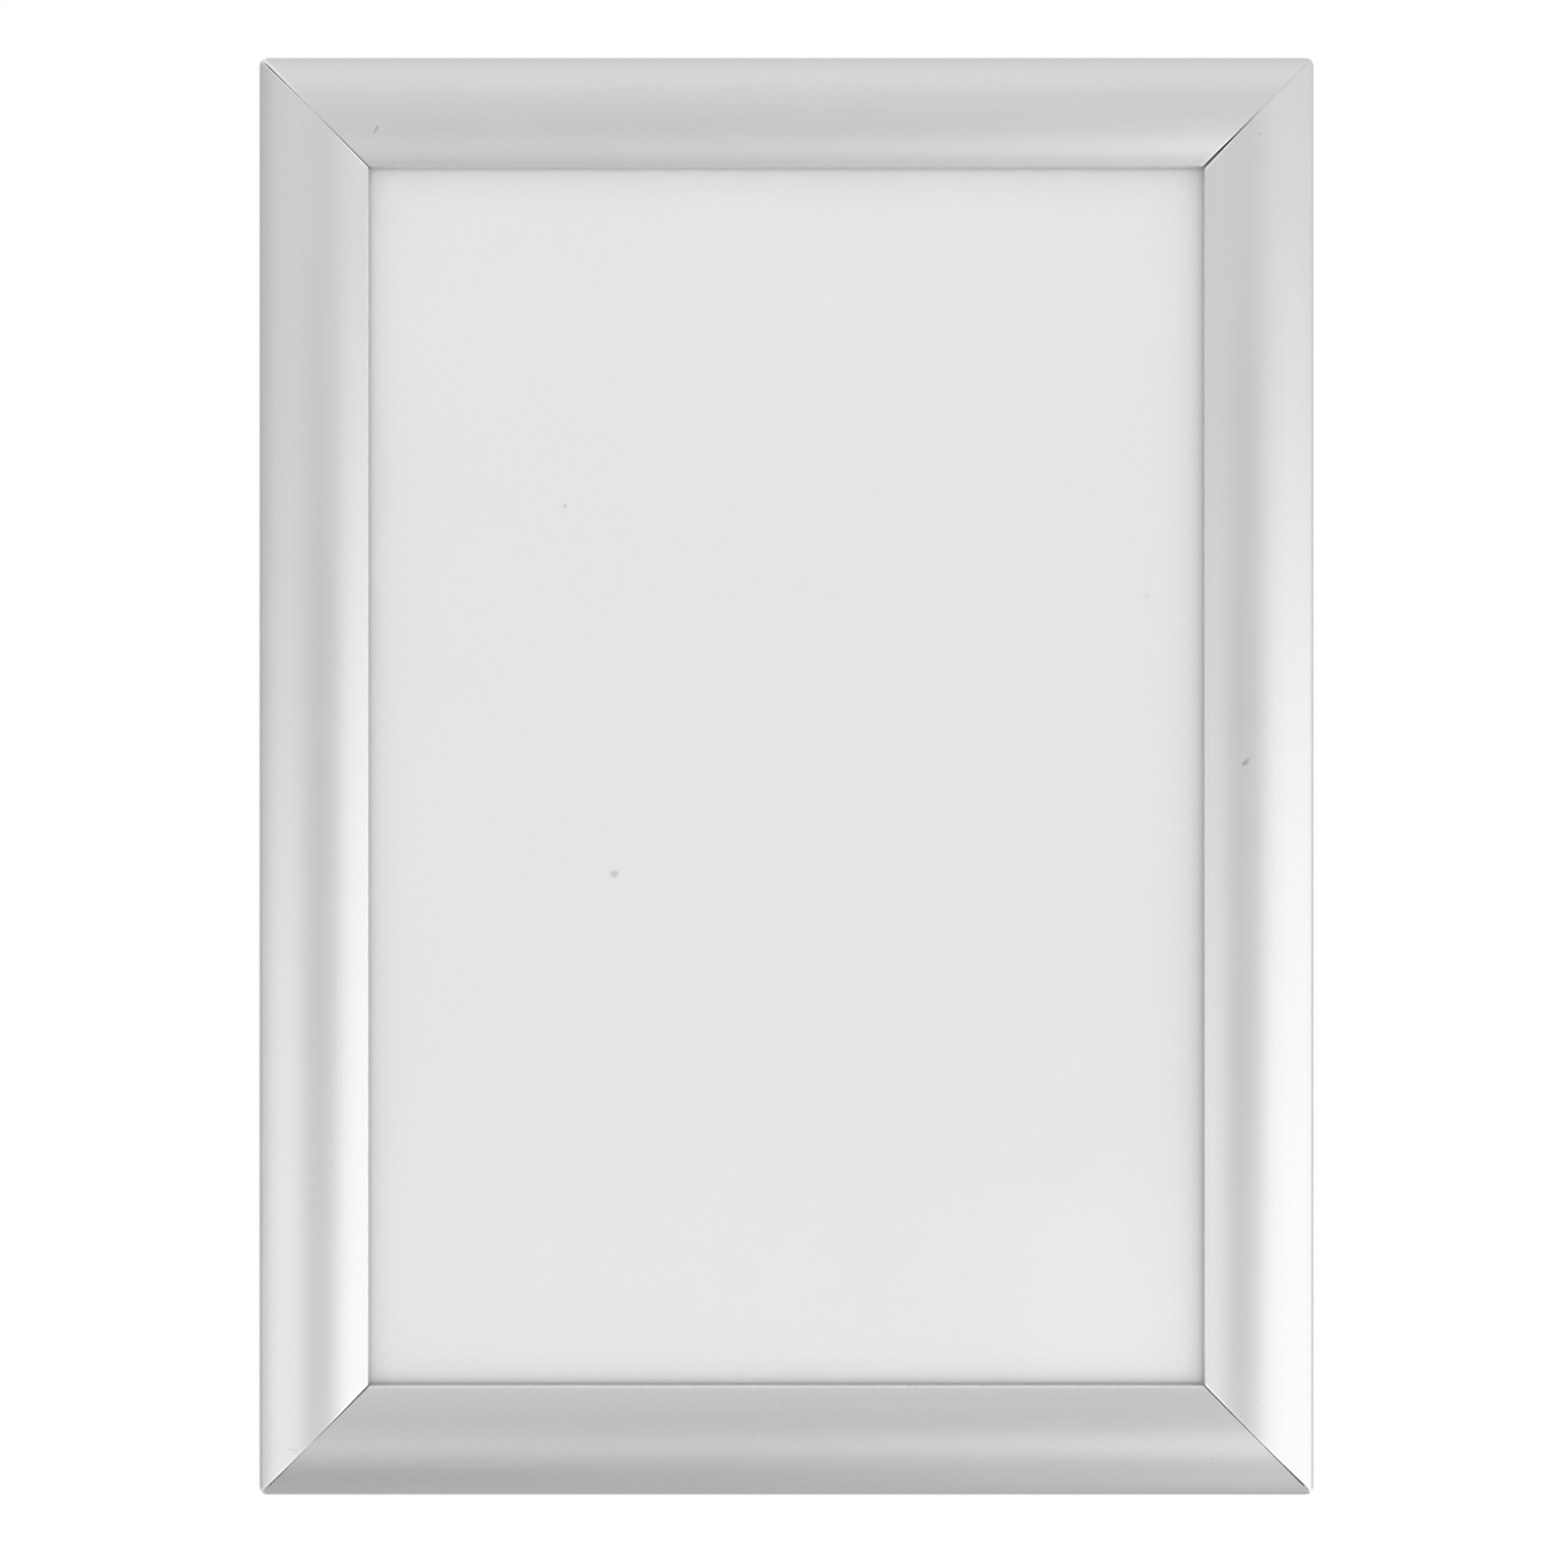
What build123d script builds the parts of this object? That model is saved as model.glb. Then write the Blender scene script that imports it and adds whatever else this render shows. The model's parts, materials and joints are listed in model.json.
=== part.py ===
from build123d import *
from math import atan2, cos, degrees, dist, radians, sin, sqrt, tan
import os

os.makedirs("parts", exist_ok=True)

# Snap-open frame of extruded aluminium, hung on a wall. Millimetres.
# +X is to the right, +Z is up and the front faces -Y. The wall is the plane y = 0.
# A rail's section is drawn in u, inwards from the frame's outer edge, and v, forwards from the wall.

frame_width = 240
frame_height = 327
corner_radius = 0.8
overrun = 5
half_share = 0.5

# Hinge: a round bead along each rear rail, held in the hook of its flap
hinge_inset = 2.0
hinge_height = 7.1
bead_radius = 1.0
hinge_clearance = 0.1
hook_wall = 0.9
hook_start_angle = -18
hook_end_angle = 168
open_angle = 95

# Front flap. The saw cuts of two flaps meet closest in the middle of the mitre.
cover_slope_angle = 30
cover_wall = 1.2
lip_wall = 1.1
lip_clearance = 0.2
edge_radius = 0.5
mitre_outer_gap = 0.3
mitre_middle_gap = 0.16
mitre_inner_gap = 0.45
leg_wall = 0.9
leg_setback = 8
cup_wall = 0.5
cup_start_angle = 38
cup_end_angle = 208
hook_end_gap = 0.3

# Rear rail
back_wall = 1.1
outer_wall = 1.1
ledge_wall = 1.1
ledge_clearance = 0.2
neck_offset = 0.05
neck_wall = 0.8
neck_clearance = 0.35
recess_inset = 13.0
recess_wall = 1.0
recess_rim_height = 1.1
shelf_wall = 0.9
shelf_setback = 1.0
inner_wall = 1.0
seat_depth = 1.1
seat_wall = 0.5
screw_hole_diameter = 4.5
screw_hole_inset = 8.0

# Leaf springs with rolled ends, two to a rail
spring_length = 22
spring_thickness = 0.35
curl_radius = 0.6
curl_clearance = 0.1
spring_foot_share = 0.228
spring_crown_height = 4.2
spring_lean_width = 0.3
spring_foot_radius = 0.7
spring_crown_share = 0.385
spring_place_share = 0.25

# Corner keys, slid into the rails' chambers and staked from behind
key_width = 8.6
key_thickness = 1.7
key_clearance = 0.1
key_side_clearance = 0.2
key_leg_length = 36
key_hole_diameter = 3.2
key_tooth_width = 0.9
key_tooth_depth = 0.35
key_tooth_pitch = 2.4
key_teeth = 4
stake_offset = 38
stake_diameter = 2.6
stake_height = 0.6
stake_mark_diameter = 1.8
stake_mark_depth = 0.8

# What the frame holds
panel_thickness = 1.2
sheet_thickness = 0.5
insert_clearance = 0.3

# Places that follow from the sizes above
chamber_outer = recess_inset + recess_wall
chamber_inner = chamber_outer + key_width + 2 * key_side_clearance
base_width = chamber_inner + inner_wall
rail_width = base_width + shelf_setback
hinge = (hinge_inset, hinge_height)
hook_inner = bead_radius + hinge_clearance
hook_outer = hook_inner + hook_wall
front_angle = 90
cover_start_angle = front_angle + cover_slope_angle
cover_end_angle = front_angle - cover_slope_angle
cover_start = (hinge_inset + hook_outer * cos(radians(cover_start_angle)),
               hinge_height + hook_outer * sin(radians(cover_start_angle)))
cover_half = (rail_width - cover_start[0]) / 2
cover_radius = cover_half / sin(radians(cover_slope_angle))
cover_centre = (cover_start[0] + cover_half,
                cover_start[1] - cover_radius * cos(radians(cover_slope_angle)))
ledge_top = hinge_height - hook_outer - ledge_clearance
neck_left = hinge_inset + neck_offset
neck_right = neck_left + neck_wall
chamber_front = back_wall + key_thickness + key_clearance
shelf_front = chamber_front + shelf_wall
sheet_back = shelf_front + panel_thickness
sheet_front = sheet_back + sheet_thickness
lip_back = sheet_front + lip_clearance
leg_left = neck_right + neck_clearance
leg_right = leg_left + leg_wall
cup_inner = curl_radius + curl_clearance
cup_outer = cup_inner + cup_wall
rim_top = sheet_front + recess_rim_height

# Spring seats. The flap's seat lies as far below the line from the hinge to the rail's seat when the flap is
# shut as it lies above that line when the flap is open, so the springs go over centre half way.
rail_seat = (recess_inset - cup_inner, rim_top - seat_wall - cup_inner)
centre_angle = degrees(atan2(rail_seat[1] - hinge[1], rail_seat[0] - hinge[0]))
shut_angle = centre_angle - open_angle * half_share
flap_seat_reach = leg_left + cup_outer - hinge_inset
flap_seat = (hinge_inset + flap_seat_reach, hinge_height + flap_seat_reach * tan(radians(shut_angle)))
depth = cover_centre[1] + cover_radius

sides = {
    "top": (0, frame_width, frame_height),
    "right": (90, frame_height, frame_width),
    "bottom": (180, frame_width, frame_height),
    "left": (270, frame_height, frame_width),
}
corners = {
    "top_right": (0, 1, 1),
    "bottom_right": (90, 1, -1),
    "bottom_left": (180, -1, -1),
    "top_left": (270, -1, 1),
}


def at(u, v):
    """A section point as drawn on the plane across a rail."""
    return (-v, -u)


def on_circle(centre, radius, angle):
    return (centre[0] + radius * cos(radians(angle)), centre[1] + radius * sin(radians(angle)))


def arc(centre, radius, start, end):
    turns = (start, (start + end) / 2, end)
    return ThreePointArc(*[at(*on_circle(centre, radius, turn)) for turn in turns])


def lines(*points):
    return Polyline(*[at(*point) for point in points])


def rectangle(u_low, u_high, v_low, v_high):
    corner_points = [(u_low, v_low), (u_high, v_low), (u_high, v_high), (u_low, v_high)]
    return make_face(lines(*corner_points, corner_points[0]))


def disc(centre, radius):
    return Pos(*at(*centre)) * Circle(radius)


def ring_part(centre, inner, outer, start, end):
    """A stretch of a ring, between two angles."""
    return make_face([
        arc(centre, outer, start, end),
        lines(on_circle(centre, outer, end), on_circle(centre, inner, end)),
        arc(centre, inner, end, start),
        lines(on_circle(centre, inner, start), on_circle(centre, outer, start)),
    ])


def round_corner(face, point, radius):
    """Rounds the corner of a section that lies at the given point."""
    corner = face.vertices().sort_by_distance(at(*point))[0]
    return fillet(corner, radius)


def inner_cover_height(u):
    """Height of the underside of the cover above the wall."""
    inner_radius = cover_radius - cover_wall
    return cover_centre[1] + sqrt(inner_radius ** 2 - (u - cover_centre[0]) ** 2)


def cover_angle(u, v):
    return degrees(atan2(v - cover_centre[1], u - cover_centre[0]))


def flap_section():
    """Hook, domed cover and lip in one outline, with the leg and the cup that push on the springs."""
    inner_radius = cover_radius - cover_wall
    lip_outer = rail_width - lip_wall
    lip_top = (lip_outer, inner_cover_height(lip_outer))
    leg_top = (leg_right, inner_cover_height(leg_right))
    hook_low = on_circle(hinge, hook_inner, hook_start_angle)
    outline = [
        arc(hinge, hook_outer, hook_end_angle, cover_start_angle),
        arc(cover_centre, cover_radius, cover_start_angle, cover_end_angle),
        lines((rail_width, cover_start[1]), (rail_width, lip_back), (lip_outer, lip_back), lip_top),
        arc(cover_centre, inner_radius, cover_angle(*lip_top), cover_angle(*leg_top)),
        lines(leg_top, (leg_right, flap_seat[1] + cup_inner), (leg_left, flap_seat[1]),
              (leg_left, hook_low[1]), hook_low),
        arc(hinge, hook_inner, hook_start_angle, hook_end_angle),
        lines(on_circle(hinge, hook_inner, hook_end_angle), on_circle(hinge, hook_outer, hook_end_angle)),
    ]
    section = round_corner(make_face(outline), (rail_width, cover_start[1]), edge_radius)
    cup = ring_part(flap_seat, cup_inner, cup_outer, cup_start_angle, cup_end_angle)
    return section - disc(flap_seat, cup_inner) + cup


def rail_section():
    """Rear rail: back wall, ledge with the hinge bead, recess for the sheets and chamber for the keys."""
    section = rectangle(0, base_width, 0, back_wall)
    section += rectangle(0, outer_wall, 0, ledge_top)
    section += rectangle(0, neck_right, ledge_top - ledge_wall, ledge_top)
    section += rectangle(neck_left, neck_right, ledge_top - ledge_wall, hinge_height)
    section += disc(hinge, bead_radius)
    section += rectangle(recess_inset, chamber_outer, 0, rim_top)
    section += rectangle(recess_inset, base_width, chamber_front, shelf_front)
    section += rectangle(chamber_inner, base_width, 0, shelf_front)
    for low in (rail_seat[1] - cup_inner - seat_wall, rail_seat[1] + cup_inner):
        section += rectangle(recess_inset - seat_depth, chamber_outer, low, low + seat_wall)
    return section


def spring_section():
    """Leaf spring across its width when the flap is shut, bowed over the line between its two seats."""
    span = dist(flap_seat, rail_seat)
    slope = atan2(rail_seat[1] - flap_seat[1], rail_seat[0] - flap_seat[0])
    foot = span * spring_foot_share
    crown_radius = (span - 2 * foot + 2 * spring_lean_width) * spring_crown_share

    def over_span(along, above):
        u = flap_seat[0] + along * cos(slope) - above * sin(slope)
        v = flap_seat[1] + along * sin(slope) + above * cos(slope)
        return at(u, v)

    points = [
        over_span(0, 0),
        over_span(foot, 0),
        over_span(foot - spring_lean_width, spring_crown_height),
        over_span(span - foot + spring_lean_width, spring_crown_height),
        over_span(span - foot, 0),
        over_span(span, 0),
    ]
    radii = [spring_foot_radius, crown_radius, crown_radius, spring_foot_radius]
    leaf = trace(FilletPolyline(*points, radius=radii), spring_thickness)
    return leaf + disc(flap_seat, curl_radius) + disc(rail_seat, curl_radius)


def across(section, length):
    """Extrudes a section along X, centred on the rail."""
    return extrude(Plane.YZ * section, amount=length * half_share, both=True)


def plate(outline, low, high):
    """Prism of an outline drawn in X and Z, from one height above the wall to another."""
    return extrude(Plane.XZ.offset(low) * outline, amount=high - low)


def between_mitres(length, places, gaps, height):
    """Block that two 45 degree saw cuts leave, given the gaps to the next rails' cuts at places across the rail."""
    cut = []
    for u, gap in zip(places, gaps):
        cut.append((length * half_share - u - gap * half_share * sqrt(2), -u))
    mirrored = [(-x, z) for x, z in reversed(cut)]
    keep = Polyline(*cut, *mirrored, cut[0])
    return plate(make_face(keep), -overrun, height)


def mitred(section, length, gaps):
    """A length of the section with 45 degree ends."""
    places = (-overrun, rail_width * half_share, rail_width + overrun)
    return across(section, length) & between_mitres(length, places, gaps, depth + overrun)


def rounded(part, side_width, side_height):
    """Rounds the frame's outer corners, with the part still drawn as a top rail."""
    outline = Pos(0, -side_height * half_share) * RectangleRounded(side_width, side_height, corner_radius)
    return part & plate(outline, -overrun, depth + overrun)


def post(x, u, low, high, diameter):
    """Round bar square to the wall."""
    return plate(Pos(x, -u) * Circle(diameter * half_share), low, high)


def rear_rail(section, length, across_width):
    rail = rounded(mitred(section, length, (0, 0, 0)), length, across_width)
    rail -= post(0, screw_hole_inset, -overrun, back_wall + overrun, screw_hole_diameter)
    for side in (-1, 1):
        x = side * (length * half_share - stake_offset)
        u = (chamber_outer + chamber_inner) * half_share
        rail += post(x, u, back_wall, back_wall + stake_height, stake_diameter)
        rail -= post(x, u, 0, stake_mark_depth, stake_mark_diameter)
    return rail


def open_mitres(length):
    """Block like the one between the mitres, but for the open flap, turned back to where the flap is shut."""
    hinge_line = Axis((0, -hinge_height, -hinge_inset), (1, 0, 0))
    block = between_mitres(length, (-rail_width, rail_width), (hook_end_gap, hook_end_gap), 2 * rail_width)
    return block.rotate(hinge_line, open_angle)


def front_flap(section, length, across_width):
    """Domed flap. Its hooks' ends are cut for both the shut and the open flap, so that all four can stand open."""
    gaps = (mitre_outer_gap, mitre_middle_gap, mitre_inner_gap)
    flap = rounded(mitred(section, length, gaps), length, across_width) & open_mitres(length)
    hook_low = hinge_height + hook_inner * sin(radians(hook_start_angle))
    end = length * half_share + overrun
    for side in (-1, 1):
        near = length * half_share - leg_setback
        trim = Pos(side * (near + end) * half_share, -rail_width * half_share * half_share)
        flap -= plate(trim * Rectangle(end - near, rail_width * half_share), -overrun, hook_low)
    return flap


def key_leg():
    """One leg, along -X from the outer corner, with teeth cut in both long edges."""
    leg = Pos(-key_leg_length * half_share, -key_width * half_share) * Rectangle(key_leg_length, key_width)
    for number in range(key_teeth):
        x = -key_leg_length + key_tooth_pitch * (number + 1)
        for edge, inward in ((0, -1), (-key_width, 1)):
            notch = Polyline(
                (x - key_tooth_width, edge),
                (x, edge + inward * key_tooth_depth),
                (x, edge),
                (x - key_tooth_width, edge),
            )
            leg -= make_face(notch)
    hole = chamber_outer + key_side_clearance - stake_offset
    return leg - Pos(hole, -key_width * half_share) * Circle(key_hole_diameter * half_share)


def corner_key():
    """Stamped steel angle, drawn for the top right corner with its outer corner at the origin."""
    leg = key_leg()
    outline = leg + Rot(Z=90) * mirror(leg, about=Plane.XZ)
    return plate(outline, back_wall, back_wall + key_thickness)


def insert(low, high):
    """Flat sheet that lies in the recess of the four rails."""
    inset = chamber_outer + insert_clearance
    return plate(Rectangle(frame_width - 2 * inset, frame_height - 2 * inset), low, high)


nodes = {}
rail_outline = rail_section()
flap_outline = flap_section()
leaf_spring = across(spring_section(), spring_length)
for name, (turn, length, across_width) in sides.items():
    place = Rot(Y=turn) * Pos(Z=across_width * half_share)
    nodes[f"rear_rail_{name}"] = place * rear_rail(rail_outline, length, across_width)
    nodes[f"front_flap_{name}"] = place * front_flap(flap_outline, length, across_width)
    for number, shift in enumerate((-spring_place_share, spring_place_share), start=1):
        nodes[f"spring_{name}_{number}"] = place * Pos(X=shift * length) * leaf_spring

key_corner = chamber_outer + key_side_clearance
for name, (turn, x_sign, z_sign) in corners.items():
    x = x_sign * (frame_width * half_share - key_corner)
    z = z_sign * (frame_height * half_share - key_corner)
    nodes[f"corner_key_{name}"] = Pos(x, 0, z) * Rot(Y=turn) * corner_key()

nodes["back_panel"] = insert(shelf_front, sheet_back)
nodes["cover_sheet"] = insert(sheet_back, sheet_front)

for name, solid in nodes.items():
    export_step(solid, f"parts/{name}.step")
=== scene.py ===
import json
from math import acos, atan2, cos, degrees, pi, radians, sin, sqrt, tan

import bmesh
import bpy
from mathutils import Matrix, Vector
from mathutils.geometry import tessellate_polygon


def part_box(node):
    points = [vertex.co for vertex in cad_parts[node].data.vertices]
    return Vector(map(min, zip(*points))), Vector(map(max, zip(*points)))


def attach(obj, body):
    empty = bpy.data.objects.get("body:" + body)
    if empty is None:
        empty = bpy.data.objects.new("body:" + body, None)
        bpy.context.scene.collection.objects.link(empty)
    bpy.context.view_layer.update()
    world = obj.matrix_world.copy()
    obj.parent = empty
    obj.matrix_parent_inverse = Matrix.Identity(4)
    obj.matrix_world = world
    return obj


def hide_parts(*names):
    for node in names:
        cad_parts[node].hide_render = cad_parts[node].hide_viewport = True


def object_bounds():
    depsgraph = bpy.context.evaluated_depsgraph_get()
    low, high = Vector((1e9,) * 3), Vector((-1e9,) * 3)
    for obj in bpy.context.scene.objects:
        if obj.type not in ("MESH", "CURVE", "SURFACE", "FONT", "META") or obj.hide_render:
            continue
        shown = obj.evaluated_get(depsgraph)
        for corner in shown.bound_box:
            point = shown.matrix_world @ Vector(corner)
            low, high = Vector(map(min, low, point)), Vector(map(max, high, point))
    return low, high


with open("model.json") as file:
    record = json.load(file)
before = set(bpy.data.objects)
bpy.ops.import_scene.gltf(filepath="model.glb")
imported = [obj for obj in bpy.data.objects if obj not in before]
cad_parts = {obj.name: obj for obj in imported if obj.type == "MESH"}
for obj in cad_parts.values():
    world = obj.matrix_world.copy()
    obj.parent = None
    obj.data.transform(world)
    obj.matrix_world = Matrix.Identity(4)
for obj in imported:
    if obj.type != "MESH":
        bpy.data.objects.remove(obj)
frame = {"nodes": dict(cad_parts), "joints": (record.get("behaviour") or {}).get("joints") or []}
cadLow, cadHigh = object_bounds()
halfWidth, halfHeight = cadHigh.x, cadHigh.z
print("frame loaded, half sizes", round(halfWidth, 4), round(halfHeight, 4))

# A side is drawn as the top one, its outer edge on z = 0 and its length along X, and then turned.
# "ends" names the corners at its +X and -X ends as drawn.
sides = {
    "top": {"turn": 0, "along": "X", "ends": ("topRight", "topLeft")},
    "right": {"turn": 90, "along": "Z", "ends": ("bottomRight", "topRight")},
    "bottom": {"turn": 180, "along": "X", "ends": ("bottomLeft", "bottomRight")},
    "left": {"turn": 270, "along": "Z", "ends": ("topLeft", "bottomLeft")},
}
for side in sides.values():
    lying = side["along"] == "X"
    side["half"] = halfWidth if lying else halfHeight
    side["reach"] = halfHeight if lying else halfWidth

joints = {joint["name"]: joint for joint in frame["joints"]}


def sectionPlace(jointName):
    # Where a joint of the top side cuts the section: u inwards from the outer edge, v forwards from
    # the wall
    place = joints[jointName]["pos_m"]
    return Vector((halfHeight - place[2], -place[1]))


hinge = sectionPlace("flap_top_hinge")
railSeat = sectionPlace("springs_top_pivot")
openAngle = joints["flap_top_hinge"]["range_deg"][1]


class Wire:  # a node's output, which can stand in a sum
    def __init__(self, graph, socket):
        self.graph = graph
        self.socket = socket

    def __add__(self, other):
        return self.graph.maths("ADD", self, other)

    def __radd__(self, other):
        return self.graph.maths("ADD", other, self)

    def __sub__(self, other):
        return self.graph.maths("SUBTRACT", self, other)

    def __rsub__(self, other):
        return self.graph.maths("SUBTRACT", other, self)

    def __mul__(self, other):
        return self.graph.maths("MULTIPLY", self, other)

    def __rmul__(self, other):
        return self.graph.maths("MULTIPLY", other, self)

    def __truediv__(self, other):
        return self.graph.maths("DIVIDE", self, other)

    def __rtruediv__(self, other):
        return self.graph.maths("DIVIDE", other, self)

    def __pow__(self, other):
        return self.graph.maths("POWER", self, other)

    def __rpow__(self, other):
        return self.graph.maths("POWER", other, self)

    def output(self, name):
        return Wire(self.graph, self.socket.node.outputs[name])


class Graph:  # a node tree, of a material, the world or a shape, and called g where one is built
    def __init__(self, tree):
        self.tree = tree

    def add(self, kind, settings=None, sockets=None, output=0):
        node = self.tree.nodes.new(kind)
        for name, value in (settings or {}).items():
            setattr(node, name, value)
        for name, value in (sockets or {}).items():
            if isinstance(value, Wire):
                self.tree.links.new(value.socket, node.inputs[name])
            else:
                node.inputs[name].default_value = value
        return Wire(self, node.outputs[output]) if node.outputs else None

    def maths(self, operation, left, right=0.0):
        return self.add("ShaderNodeMath", {"operation": operation}, {0: left, 1: right})

    def larger(self, left, right):
        return self.maths("MAXIMUM", left, right)

    def attribute(self, name):
        return self.add("ShaderNodeAttribute", {"attribute_name": name}, output="Fac")

    def named(self, name):
        return self.add("GeometryNodeInputNamedAttribute", {"data_type": "FLOAT"}, {"Name": name})

    def length(self, vector):
        return self.add("ShaderNodeVectorMath", {"operation": "LENGTH"}, {0: vector}, output="Value")

    def mixed(self, low, high, share):
        low, high = [end if isinstance(end, Wire) else (*end, 1) for end in (low, high)]
        return self.add("ShaderNodeMix", {"data_type": "RGBA"}, {0: share, 6: low, 7: high}, output=2)

    def ease(self, value, low, high, atLow=0.0, atHigh=1.0):
        return self.add("ShaderNodeMapRange", {"interpolation_type": "SMOOTHSTEP"},
                        {0: value, 1: low, 2: high, 3: atLow, 4: atHigh})


def newMaterial(name):
    material = bpy.data.materials.new(name)
    material.use_nodes = True
    material.node_tree.nodes.clear()
    return material, Graph(material.node_tree)


def finishMaterial(g, surface):
    g.add("ShaderNodeOutputMaterial", {}, {"Surface": surface})


def grey(shade):
    return shade, shade, shade, 1


def link(obj):
    bpy.context.scene.collection.objects.link(obj)
    return obj


def meshObject(name, bm):
    mesh = bpy.data.meshes.new(name)
    bm.to_mesh(mesh)
    bm.free()
    return link(bpy.data.objects.new(name, mesh))


# Camera, lamps and backdrop

studio = {
    "metresPerPixel": 0.0002226,
    "imageSize": 1600,
    "frameCentrePixel": (802.5, 792),
    "facePlane": 0.009,  # how far from the wall a pixel has that size
    "cameraDistance": 0.80,  # from that plane
    "nearestSeen": 0.01,
    "worldShown": 1.0,
    "worldLight": 0.90,
    "floorDrop": 1.1,  # from the frame's lower edge
    "floorRadius": 3.2,
    "floorSides": 96,
    "floorShade": 0.80,
    "fadeFromShare": 0.4,
    "fadeToShare": 0.98,
}
lamps = {  # glow is the brightness of a lamp's face, where 1 is white
    "rightSoftbox": {"place": (1.0, -0.80, -0.37), "size": (1.7, 1.1), "glow": 0.74},
    "leftSoftbox": {"place": (-0.74, -0.72, -0.30), "size": (0.80, 0.60), "glow": 0.52},
    "topSoftbox": {"place": (0, -0.70, 1.0), "size": (1.2, 0.5), "glow": 0.20},
    "middleSoftbox": {"place": (0.28, -0.95, -0.38), "size": (0.35, 0.35), "glow": 0.36},
    "lowSoftbox": {"place": (0.42, -0.55, -0.95), "size": (0.50, 0.40), "glow": 0.42},
}
cards = {  # the studio's darker sides, which show only in the metal and the clear sheet
    "cameraCard": {"place": (-0.06, -1.0, 0.0), "size": (0.56, 0.42), "shade": 0.80},
    "lowCard": {"place": (-0.50, -0.60, -0.95), "size": (0.80, 0.50), "shade": 0.58},
    "leftCard": {"place": (-1.5, 0.0, 0.1), "size": (1.6, 2.2), "shade": 0.72},
}


def makeCamera(setup):
    camera = link(bpy.data.objects.new("camera", bpy.data.cameras.new("camera")))
    middle = setup["imageSize"] / 2
    x = (middle - setup["frameCentrePixel"][0]) * setup["metresPerPixel"]
    z = (setup["frameCentrePixel"][1] - middle) * setup["metresPerPixel"]
    camera.location = (x, -setup["cameraDistance"] - setup["facePlane"], z)
    camera.rotation_euler = (radians(90), 0, 0)
    seenWidth = setup["imageSize"] * setup["metresPerPixel"]
    camera.data.lens = camera.data.sensor_width * setup["cameraDistance"] / seenWidth
    camera.data.clip_start = setup["nearestSeen"]
    bpy.context.scene.camera = camera
    bpy.context.scene.view_settings.view_transform = "Standard"


def makeWorld(setup):
    # White where it is seen, also in the metal and the sheet, and a little less as light
    world = bpy.data.worlds.new("whiteStudio")
    world.use_nodes = True
    world.node_tree.nodes.clear()
    g = Graph(world.node_tree)
    path = g.add("ShaderNodeLightPath", output="Is Camera Ray")
    seen = g.larger(path, g.larger(path.output("Is Glossy Ray"), path.output("Is Transmission Ray")))
    strength = seen * (setup["worldShown"] - setup["worldLight"]) + setup["worldLight"]
    light = g.add("ShaderNodeBackground", {}, {"Color": grey(1), "Strength": strength})
    g.add("ShaderNodeOutputWorld", {}, {"Surface": light})
    bpy.context.scene.world = world


def makeLamp(name, lamp):
    data = bpy.data.lights.new(name, "AREA")
    data.shape = "RECTANGLE"
    data.size, data.size_y = lamp["size"]
    data.energy = lamp["glow"] * pi * data.size * data.size_y
    obj = link(bpy.data.objects.new(name, data))
    obj.location = lamp["place"]
    obj.rotation_euler = Vector(lamp["place"]).to_track_quat("Z", "Y").to_euler()


def makeFloor(setup):
    # A round floor that fades out before its edge
    radius = setup["floorRadius"]
    bm = bmesh.new()
    bmesh.ops.create_circle(bm, cap_ends=True, segments=setup["floorSides"], radius=radius)
    bmesh.ops.translate(bm, verts=bm.verts, vec=(0, 0, -halfHeight - setup["floorDrop"]))
    floor = meshObject("floor", bm)
    material, g = newMaterial("paleFloor")
    distance = g.length(g.add("ShaderNodeTexCoord", output="Object"))
    fade = g.ease(distance, radius * setup["fadeFromShare"], radius * setup["fadeToShare"])
    paint = g.add("ShaderNodeBsdfDiffuse", {}, {"Color": grey(setup["floorShade"])})
    clear = g.add("ShaderNodeBsdfTransparent")
    finishMaterial(g, g.add("ShaderNodeMixShader", {}, {0: fade, 1: paint, 2: clear}))
    floor.data.materials.append(material)


def makeCard(name, card):
    bm = bmesh.new()
    bmesh.ops.create_grid(bm, x_segments=1, y_segments=1, size=0.5)  # a square with sides of 1
    facing = Vector(card["place"]).to_track_quat("Z", "Y").to_matrix().to_4x4()
    size = Matrix.Diagonal((*card["size"], 1, 1))
    bmesh.ops.transform(bm, verts=bm.verts, matrix=Matrix.Translation(card["place"]) @ facing @ size)
    obj = meshObject(name, bm)
    obj.visible_camera = False
    obj.visible_shadow = False
    obj.visible_diffuse = False
    material, g = newMaterial(name)
    finishMaterial(g, g.add("ShaderNodeEmission", {}, {"Color": grey(card["shade"])}))
    obj.data.materials.append(material)


makeCamera(studio)
makeWorld(studio)
makeFloor(studio)
for lampName, lamp in lamps.items():
    makeLamp(lampName, lamp)
for cardName, card in cards.items():
    makeCard(cardName, card)
print("studio ready")


# Outlines and shapes

sharpAngle = 25  # degrees between two faces from which their edge stays sharp


def arcPoints(centre, radius, start, end, steps):
    angles = [radians(start + (end - start) * n / steps) for n in range(steps + 1)]
    return [(centre[0] + radius * cos(a), centre[1] + radius * sin(a), 0) for a in angles]


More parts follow.
